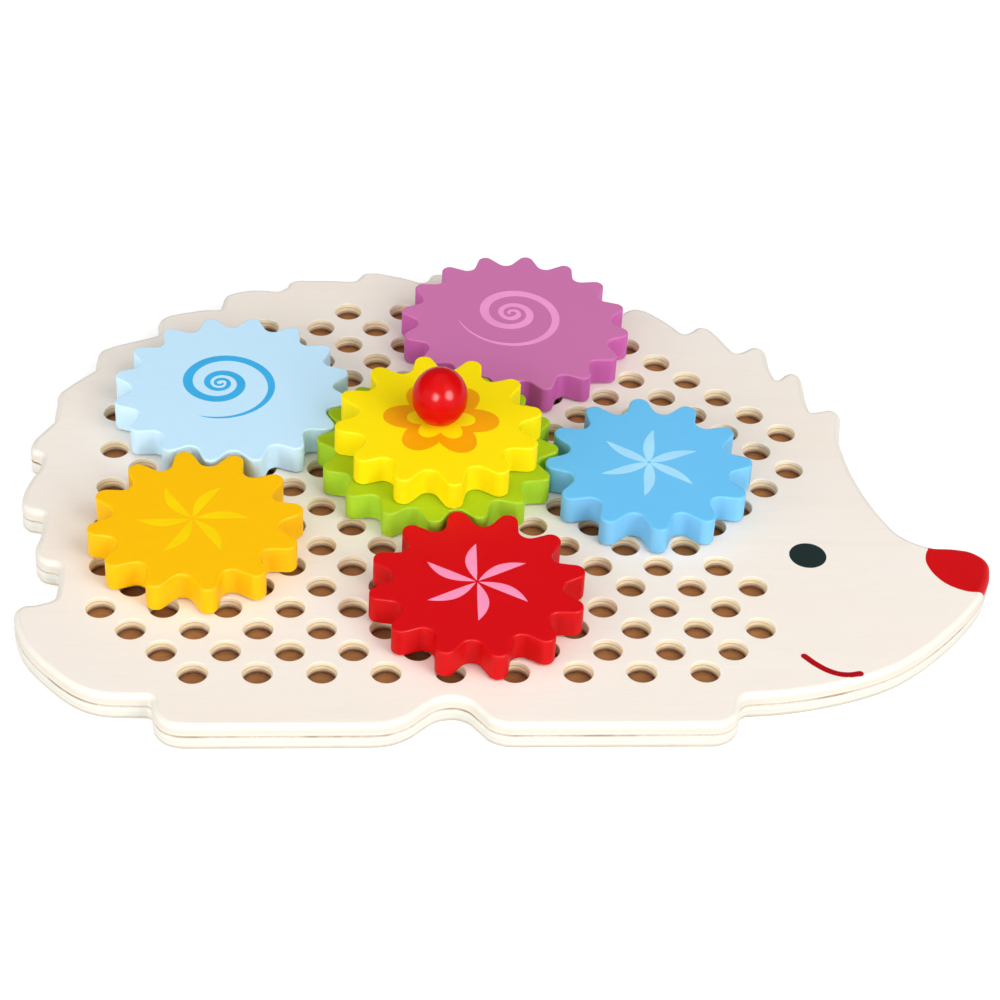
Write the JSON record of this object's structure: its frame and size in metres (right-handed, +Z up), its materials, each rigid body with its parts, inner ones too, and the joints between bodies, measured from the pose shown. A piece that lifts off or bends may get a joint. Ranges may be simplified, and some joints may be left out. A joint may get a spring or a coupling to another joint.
{
  "type": "wooden gear board toy",
  "caption": "Hedgehog-shaped wooden peg board with toothed wooden gears on loose pegs; turning the ball knob on the stacked crank gear turns every other gear through its teeth",
  "frame": {"origin": "middle of the footprint, on the underside of the lower board", "axes": "+X along the animal from tail to nose, +Y from belly to back spines, +Z up out of the peg holes"},
  "size_m": [0.3517, 0.263, 0.0565],
  "materials": {
    "plywood": "clear matt lacquer",
    "base_plywood": "clear matt lacquer",
    "bare_wood": "bare",
    "green_paint": "satin paint",
    "yellow_paint": "satin paint",
    "red_paint": "satin paint",
    "red_knob_paint": "gloss paint",
    "purple_paint": "satin paint",
    "light_blue_paint": "satin paint",
    "blue_paint": "satin paint",
    "orange_paint": "satin paint"
  },
  "bodies": {
    "boards": {"base_board": "base_plywood", "top_board": "plywood"},
    "crank_peg": {"crank_peg": "bare_wood"},
    "crank": {"green_crank_gear": "green_paint", "yellow_crank_gear": "yellow_paint", "crank_knob": "red_knob_paint", "crank_dowel": "bare_wood"},
    "purple_gear_peg": {"purple_gear_peg": "bare_wood"},
    "purple_gear": {"purple_gear": "purple_paint"},
    "light_blue_gear_peg": {"light_blue_gear_peg": "bare_wood"},
    "light_blue_gear": {"light_blue_gear": "light_blue_paint"},
    "blue_gear_peg": {"blue_gear_peg": "bare_wood"},
    "blue_gear": {"blue_gear": "blue_paint"},
    "red_gear_peg": {"red_gear_peg": "bare_wood"},
    "red_gear": {"red_gear": "red_paint"},
    "orange_gear_peg": {"orange_gear_peg": "bare_wood"},
    "orange_gear": {"orange_gear": "orange_paint"}
  },
  "joints": [
    {"name": "crank_lift", "type": "slide", "parent": "boards", "child": "crank_peg", "axis": [0, 0, 1], "range_m": [0, 0.052]},
    {"name": "crank_spin", "type": "hinge", "parent": "crank_peg", "child": "crank", "pos_m": [-0.02361, 0.0043, 0.0117], "axis": [0, 0, 1], "continuous": true},
    {"name": "purple_gear_lift", "type": "slide", "parent": "boards", "child": "purple_gear_peg", "axis": [0, 0, 1], "range_m": [0, 0.052]},
    {"name": "purple_gear_spin", "type": "hinge", "parent": "purple_gear_peg", "child": "purple_gear", "pos_m": [0.00944, 0.0811, 0.0117], "axis": [0, 0, 1], "continuous": true},
    {"name": "light_blue_gear_lift", "type": "slide", "parent": "boards", "child": "light_blue_gear_peg", "axis": [0, 0, 1], "range_m": [0, 0.052]},
    {"name": "light_blue_gear_spin", "type": "hinge", "parent": "light_blue_gear_peg", "child": "light_blue_gear", "pos_m": [-0.10021, 0.0378, 0.0117], "axis": [0, 0, 1], "continuous": true},
    {"name": "blue_gear_lift", "type": "slide", "parent": "boards", "child": "blue_gear_peg", "axis": [0, 0, 1], "range_m": [0, 0.052]},
    {"name": "blue_gear_spin", "type": "hinge", "parent": "blue_gear_peg", "child": "blue_gear", "pos_m": [0.05429, -0.00645, 0.0117], "axis": [0, 0, 1], "continuous": true},
    {"name": "red_gear_lift", "type": "slide", "parent": "boards", "child": "red_gear_peg", "axis": [0, 0, 1], "range_m": [0, 0.052]},
    {"name": "red_gear_spin", "type": "hinge", "parent": "red_gear_peg", "child": "red_gear", "pos_m": [-0.01231, -0.07265, 0.0117], "axis": [0, 0, 1], "continuous": true},
    {"name": "orange_gear_lift", "type": "slide", "parent": "boards", "child": "orange_gear_peg", "axis": [0, 0, 1], "range_m": [0, 0.052]},
    {"name": "orange_gear_spin", "type": "hinge", "parent": "orange_gear_peg", "child": "orange_gear", "pos_m": [-0.11151, -0.03905, 0.0117], "axis": [0, 0, 1], "continuous": true}
  ],
  "couplings": [
    {"joint": "purple_gear_spin", "follows": "crank_spin", "ratio": -1},
    {"joint": "light_blue_gear_spin", "follows": "crank_spin", "ratio": -1},
    {"joint": "blue_gear_spin", "follows": "crank_spin", "ratio": -1.3333},
    {"joint": "red_gear_spin", "follows": "crank_spin", "ratio": -1.3333},
    {"joint": "orange_gear_spin", "follows": "crank_spin", "ratio": 1.3333}
  ]
}
